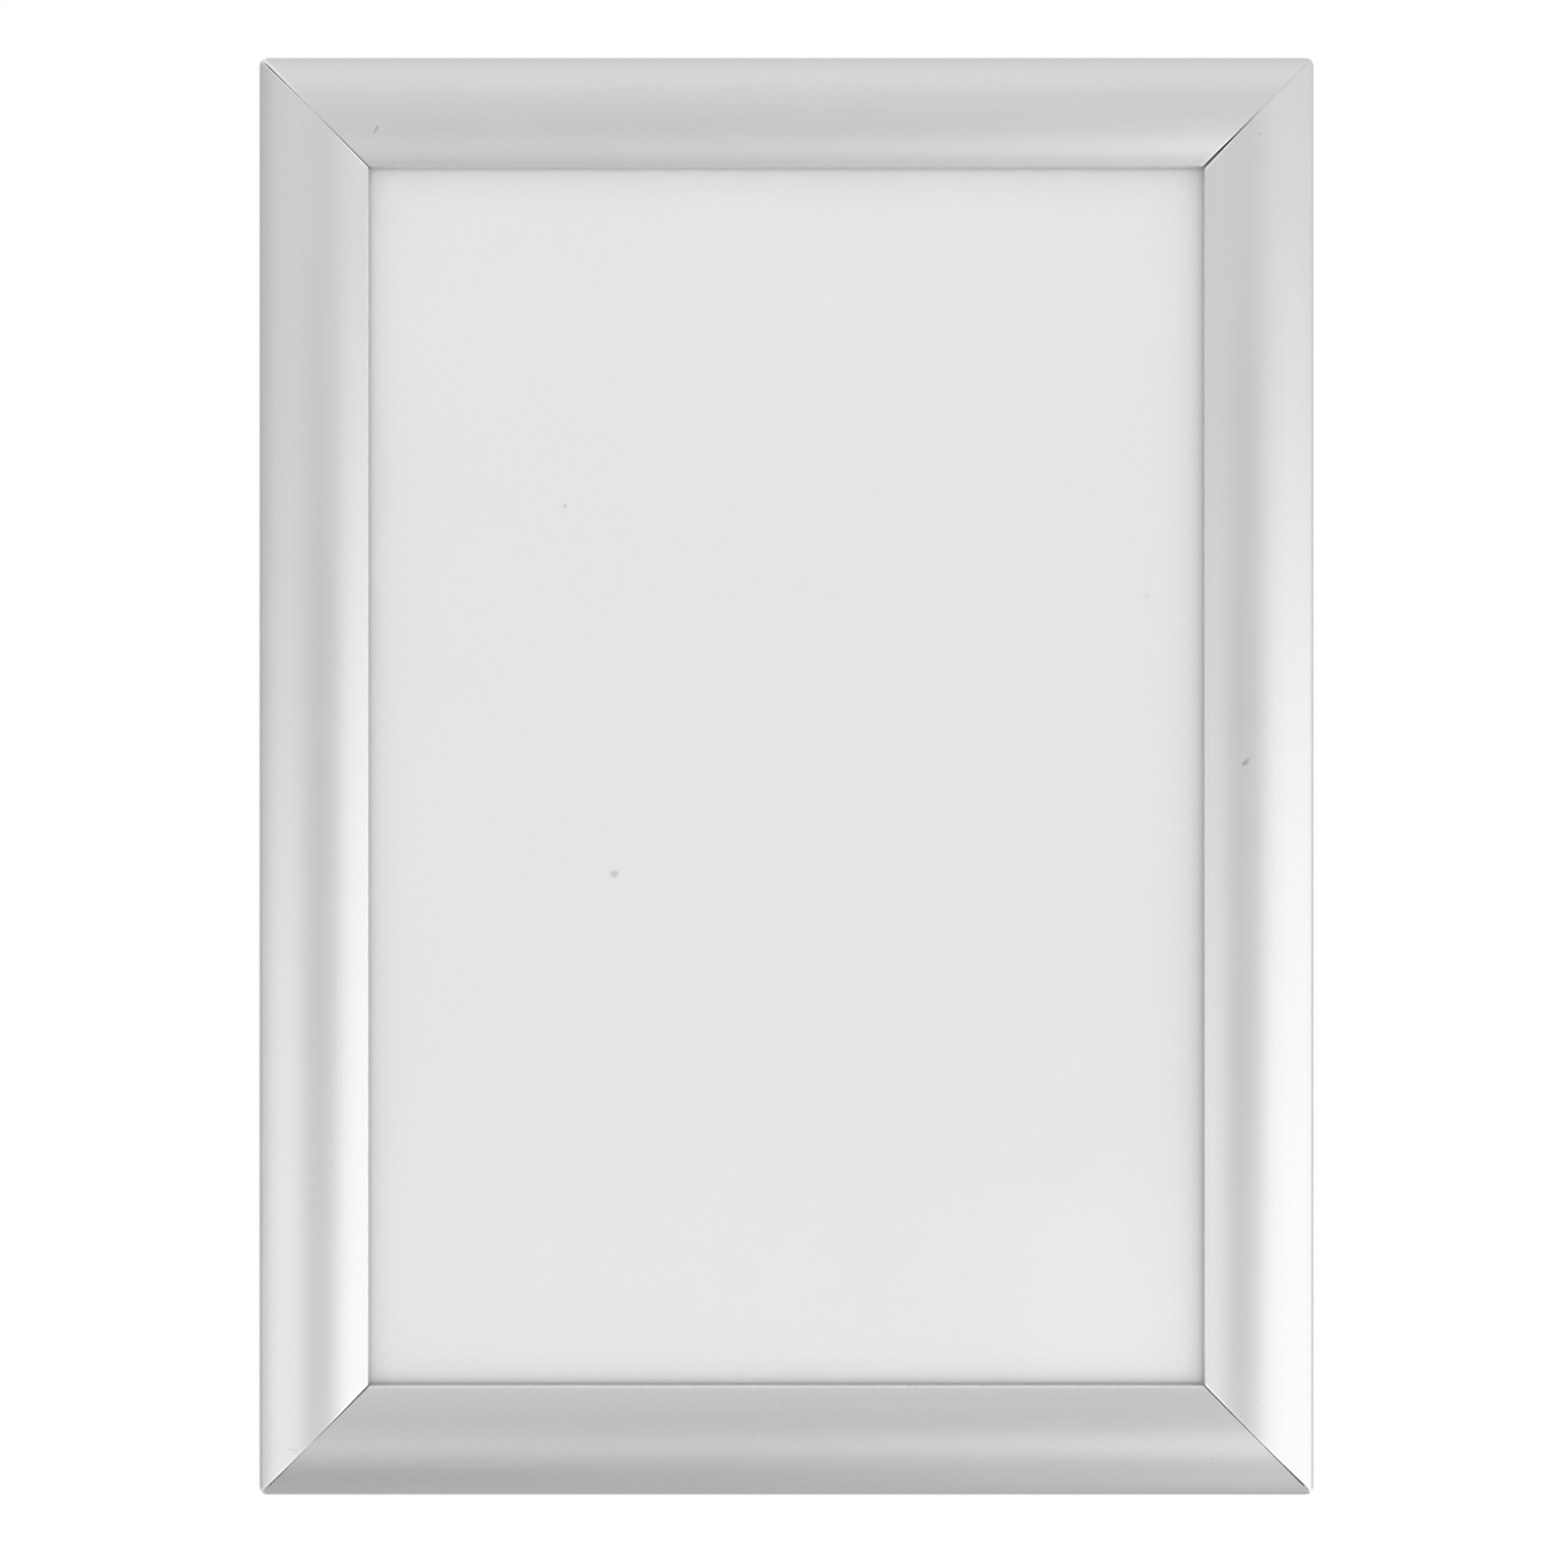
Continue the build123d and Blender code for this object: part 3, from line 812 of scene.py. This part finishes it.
def leafBlank(sizes):
    outline = ribbon(leafLine(sizes), sizes["thickness"])
    half = sizes["length"] / 2
    bm = bmesh.new()
    ends = [[bm.verts.new((x, -v, -u)) for u, v in outline] for x in (-half, half)]
    count = len(outline)
    for n in range(count):
        m = (n + 1) % count
        bm.faces.new((ends[0][n], ends[0][m], ends[1][m], ends[1][n]))
    caps = [bm.faces.new(end) for end in ends]
    bmesh.ops.recalc_face_normals(bm, faces=bm.faces)
    breakEdges(bm, [edge for cap in caps for edge in cap.edges], sizes["edgeBreak"])
    return meshObject("leafBlank", bm)


def pairTree():
    tree, g, source = shapeTree("springPair", {"Half Spacing": "Float", "Finish": "Material"})
    apart = source.output("Half Spacing")
    line = g.add("GeometryNodeMeshLine", {"mode": "END_POINTS"}, {
        "Count": 2, "Start Location": g.add("ShaderNodeCombineXYZ", {}, {0: 0 - apart}),
        "Offset": g.add("ShaderNodeCombineXYZ", {}, {0: apart})})
    placed = g.add("GeometryNodeInstanceOnPoints", {}, {"Points": line, "Instance": source})
    real = g.add("GeometryNodeRealizeInstances", {}, {"Geometry": placed})
    steel = g.add("GeometryNodeSetMaterial", {}, {"Geometry": real, "Material": source.output("Finish")})
    g.add("NodeGroupOutput", {}, {"Geometry": steel})
    return tree


pairShape = pairTree()
for sideName, side in sides.items():
    piece = shaped(leafBlank(leaf), "leaf_springs_" + sideName, pairShape, {
        "Half Spacing": side["half"] * 2 * leaf["placeShare"], "Finish": springMetal[side["along"]]})
    seat(piece, side)
    smoothen(piece)
    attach(piece, "springs_" + sideName)
    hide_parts("spring_" + sideName + "_1", "spring_" + sideName + "_2")
print("springs ready")


# Backing board and clear sheet

board = {
    "dark": (0.80, 0.80, 0.80), "light": (0.84, 0.84, 0.84), "roughness": 0.55, "roughnessSpread": 0.1,
    "mottleSize": 0.03, "mottleShare": 0.8, "mottleSeed": 0.2,
    "grainSize": 0.0008, "grainShare": 0.3, "grainSeed": 0.9, "bump": 0.1, "bumpHeight": 0.0001,
    "edgeBreak": 0.0002, "markColour": (0.60, 0.60, 0.60),
    "marks": [  # x, z, length, width, angle and strength
        (-0.0393, -0.0223, 0.0028, 0.0025, 20, 1.0), (-0.0506, 0.0617, 0.0013, 0.0013, 0, 1.0),
        (0.0822, 0.0410, 0.0024, 0.0024, 0, 0.25),
    ],
}
sheet = {
    "tint": 0.985, "refraction": 1.49, "roughness": 0.08, "handlingRoughness": 0.06, "handlingSize": 0.05,
    "handlingSeed": 0.4, "shadowTint": 0.955, "edgeBreak": 0.00008, "boardClearance": 0.00003,
}


def boardMaterial(look, front, depth):
    material, g = newMaterial("paleBoard")
    place = g.add("ShaderNodeTexCoord", output="Object")
    mottle = cloud(g, place, look["mottleSize"], look["mottleSeed"])
    grain = cloud(g, place, look["grainSize"], look["grainSeed"])
    share = 0.5 + swing(mottle, look["mottleShare"]) + swing(grain, look["grainShare"])
    colour = g.mixed(look["dark"], look["light"], share)
    colour = g.mixed(colour, look["markColour"], markedShare(g, place, look["marks"], front, depth))
    roughness = look["roughness"] + swing(mottle, look["roughnessSpread"])
    bump = g.add("ShaderNodeBump", {}, {
        "Height": grain, "Strength": look["bump"], "Distance": look["bumpHeight"]})
    finishMaterial(g, g.add("ShaderNodeBsdfPrincipled", {}, {
        "Base Color": colour, "Roughness": roughness, "Normal": bump}))
    return material


def sheetMaterial(look):
    # Clear to the eye and in the metal, and a plain tint to shadows and to soft light
    material, g = newMaterial("clearSheet")
    place = g.add("ShaderNodeTexCoord", output="Object")
    handling = cloud(g, place, look["handlingSize"], look["handlingSeed"])
    clear = g.add("ShaderNodeBsdfPrincipled", {}, {
        "Base Color": grey(look["tint"]), "Transmission Weight": 1.0, "IOR": look["refraction"],
        "Roughness": look["roughness"] + handling * look["handlingRoughness"]})
    path = g.add("ShaderNodeLightPath", output="Is Shadow Ray")
    through = g.larger(path, path.output("Is Diffuse Ray"))
    passing = g.add("ShaderNodeBsdfTransparent", {}, {"Color": grey(look["shadowTint"])})
    finishMaterial(g, g.add("ShaderNodeMixShader", {}, {0: through, 1: clear, 2: passing}))
    return material


def platePiece(name, low, high, edgeBreak, material):
    # A flat plate with its edges broken
    bm = bmesh.new()
    bmesh.ops.create_cube(bm, size=1)
    middle, size = (low + high) / 2, high - low
    bmesh.ops.transform(bm, verts=bm.verts, matrix=Matrix.Translation(middle) @ Matrix.Diagonal((*size, 1)))
    breakEdges(bm, list(bm.edges), edgeBreak)
    piece = meshObject(name, bm)
    piece.data.materials.append(material)
    return piece


boardLow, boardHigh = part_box("back_panel")
boardPlastic = boardMaterial(board, boardLow.y, (boardHigh.y - boardLow.y) / 2)
boardPiece = platePiece("backing_board", boardLow, boardHigh, board["edgeBreak"], boardPlastic)
sheetLow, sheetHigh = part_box("cover_sheet")
sheetHigh.y -= sheet["boardClearance"]  # so that the two faces don't lie in one plane
sheetPiece = platePiece("clear_cover", sheetLow, sheetHigh, sheet["edgeBreak"], sheetMaterial(sheet))
for piece, node, slot in ((boardPiece, "back_panel", "panel_plastic"),
                          (sheetPiece, "cover_sheet", "clear_sheet")):
    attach(piece, "frame")
    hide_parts(node)
print("board and sheet ready")
